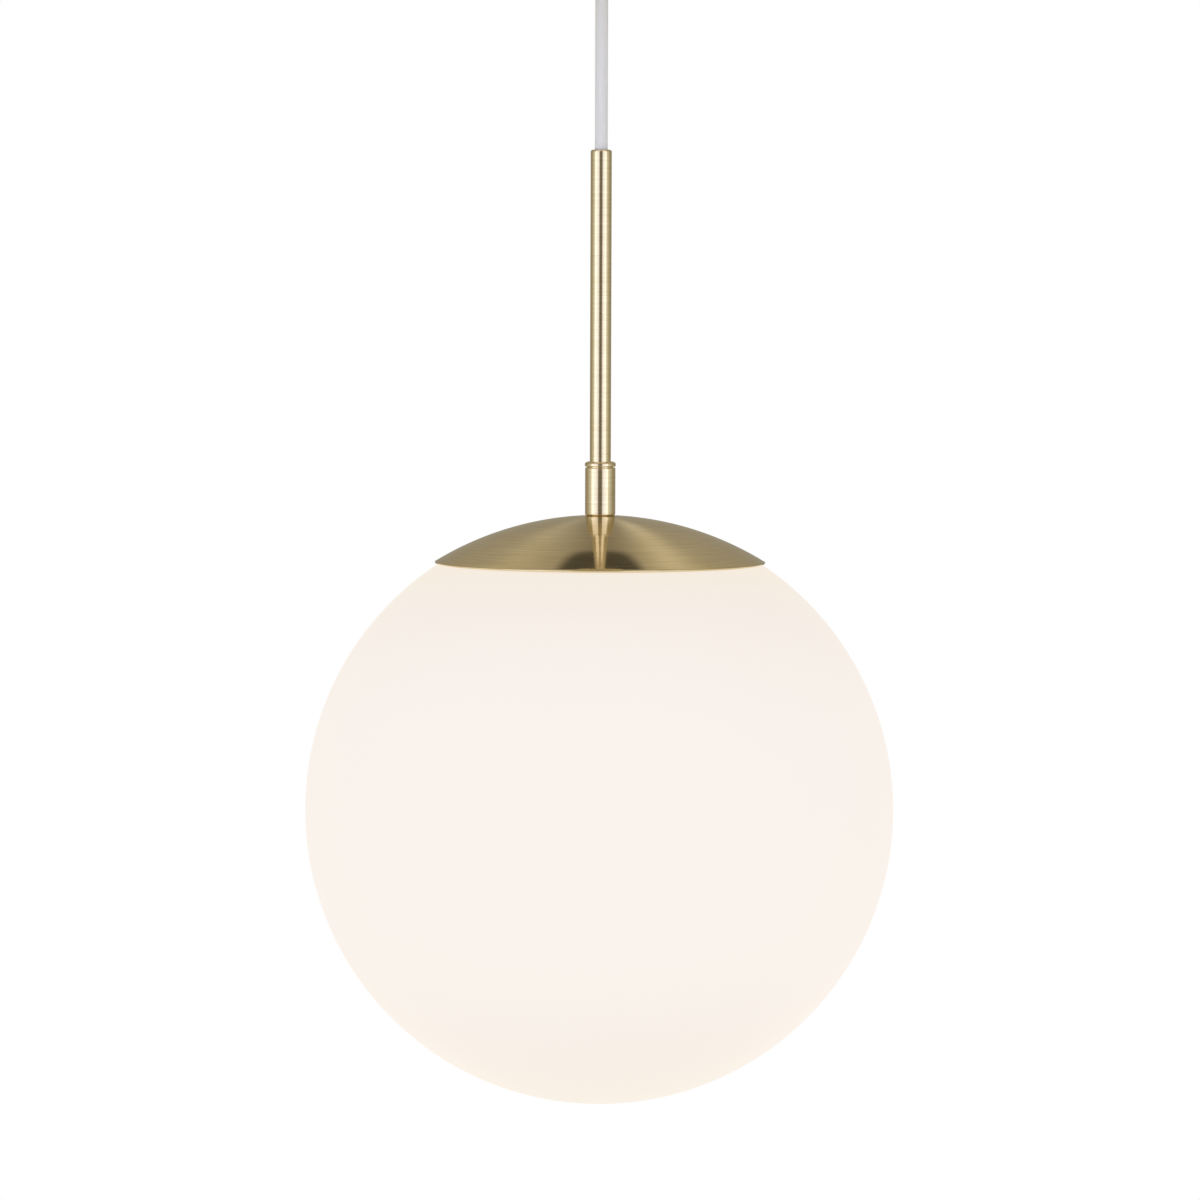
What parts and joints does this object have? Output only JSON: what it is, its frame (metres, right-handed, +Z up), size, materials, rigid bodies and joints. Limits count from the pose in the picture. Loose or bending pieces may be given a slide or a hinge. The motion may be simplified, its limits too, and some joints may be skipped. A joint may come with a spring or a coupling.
{
  "type": "pendant ceiling light",
  "caption": "Pendant ceiling light: opal glass globe under a shallow brass dome cap, on a slim brass stem that hangs from a woven cord and a round canopy.",
  "frame": {"origin": "centre of the ceiling bracket's upper face, in the plane of the ceiling", "axes": "+Z up along the cord and stem, X along the ceiling bracket through the two canopy screws, Y across it"},
  "size_m": [0.3499, 0.35, 0.7049],
  "materials": {
    "brass_satin": "satin brushed",
    "brass_plain": "turned",
    "zinc_steel": "zinc plated",
    "opal_glass": "satin opal, lit from inside",
    "woven_cord": "fine woven cover",
    "grey_plastic": "moulded",
    "black_plastic": "moulded phenolic",
    "white_plastic": "moulded",
    "ceramic": "glazed",
    "felt": "felt",
    "rubber": "moulded",
    "core_wire": "insulated copper",
    "spring_steel": "spring temper",
    "nickel": "nickel plated",
    "circuit": "circuit board",
    "board_white": "white solder mask",
    "led": "phosphor",
    "opal_plastic": "opal diffuser"
  },
  "bodies": {
    "ceiling": {"ceiling_bracket": "zinc_steel", "bracket_earth_screw": "brass_plain"},
    "canopy": {"canopy_cup": "brass_satin", "canopy_screws": "brass_plain", "gland_body": "brass_plain", "gland_lock_nut": "zinc_steel", "gland_cap": "brass_plain", "gland_grip": "rubber", "cord_in_canopy": "woven_cord", "canopy_cores": "core_wire", "terminal_block": "white_plastic", "terminal_screws": "brass_plain"},
    "cord": {"hanging_cord": "woven_cord"},
    "lamp": {"stem_end_bush": "grey_plastic", "stem_tube": "brass_satin", "cord_in_stem": "woven_cord", "ferrule": "brass_satin", "ferrule_collar": "brass_satin", "dome_cap": "brass_satin", "threaded_nipple": "zinc_steel", "dome_nut": "zinc_steel", "carrier_plate": "zinc_steel", "earth_tag": "nickel", "carrier_nut": "zinc_steel", "glass_spring_1": "spring_steel", "glass_spring_2": "spring_steel", "glass_spring_3": "spring_steel", "spring_rivets": "zinc_steel", "felt_ring": "felt", "lampholder_cap": "black_plastic", "lampholder_insert": "ceramic", "lampholder_screws": "brass_plain", "lamp_leads": "core_wire", "lampholder_shell": "brass_plain", "lampholder_contact": "brass_plain", "lampholder_sleeve": "black_plastic"},
    "globe": {"glass_globe": "opal_glass"},
    "bulb_base": {"bulb_contact": "nickel", "bulb_insulator": "black_plastic"},
    "bulb": {"bulb_screw_shell": "nickel", "bulb_housing": "white_plastic", "bulb_driver": "circuit", "bulb_led_board": "board_white", "bulb_leds": "led", "bulb_diffuser": "opal_plastic"}
  },
  "joints": [
    {"name": "canopy_drop", "type": "slide", "parent": "ceiling", "child": "canopy", "axis": [0, 0, 1], "range_m": [-0.04, 0]},
    {"name": "cord_swing", "type": "hinge", "parent": "canopy", "child": "cord", "pos_m": [0, 0, -0.0415], "axis": [1, 0, 0], "range_deg": [-20, 20]},
    {"name": "lamp_tilt", "type": "hinge", "parent": "cord", "child": "lamp", "pos_m": [0, 0, -0.1365], "axis": [0, 1, 0], "range_deg": [-15, 15]},
    {"name": "globe_release", "type": "slide", "parent": "lamp", "child": "globe", "axis": [0, 0, 1], "range_m": [-0.18, 0]},
    {"name": "bulb_travel", "type": "slide", "parent": "lamp", "child": "bulb_base", "axis": [0, 0, 1], "range_m": [-0.0145, 0]},
    {"name": "bulb_unscrew", "type": "hinge", "parent": "bulb_base", "child": "bulb", "pos_m": [0, 0, -0.45], "axis": [0, 0, 1], "range_deg": [-1440, 0]}
  ],
  "couplings": [
    {"joint": "bulb_unscrew", "follows": "bulb_travel", "rad_per_m": 1731.4}
  ]
}
